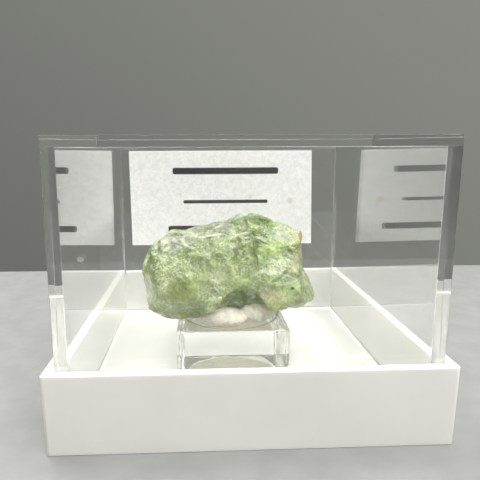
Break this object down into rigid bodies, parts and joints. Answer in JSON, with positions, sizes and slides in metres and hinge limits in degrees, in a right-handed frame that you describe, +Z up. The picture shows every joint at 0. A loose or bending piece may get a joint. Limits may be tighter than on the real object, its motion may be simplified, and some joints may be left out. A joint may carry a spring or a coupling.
{
  "type": "boxed garnet specimen",
  "caption": "Rough green garnet crystal fixed with putty on a clear block, inside a square display box with a white tray, a clear lid and a paper card.",
  "frame": {"origin": "middle of the tray's underside, on the surface the box stands on", "axes": "+Z up; +X to the viewer's right and +Y away from the viewer, towards the card against the rear wall"},
  "size_m": [0.031, 0.031, 0.0233],
  "materials": {
    "white_plastic": "smooth moulded polystyrene",
    "clear_plastic": "clear moulded polystyrene with fine scratches",
    "paper": "matte printed paper",
    "clear_acrylic": "polished acrylic",
    "adhesive_pad": "matte adhesive disc",
    "putty": "soft satin putty",
    "garnet": "rough translucent crystal with fine fractures"
  },
  "bodies": {
    "root": {"tray": "white_plastic", "lid": "clear_plastic", "label_card": "paper", "acrylic_block": "clear_acrylic", "base_pad": "adhesive_pad", "mounting_putty": "putty", "garnet_crystal": "garnet"}
  },
  "joints": []
}
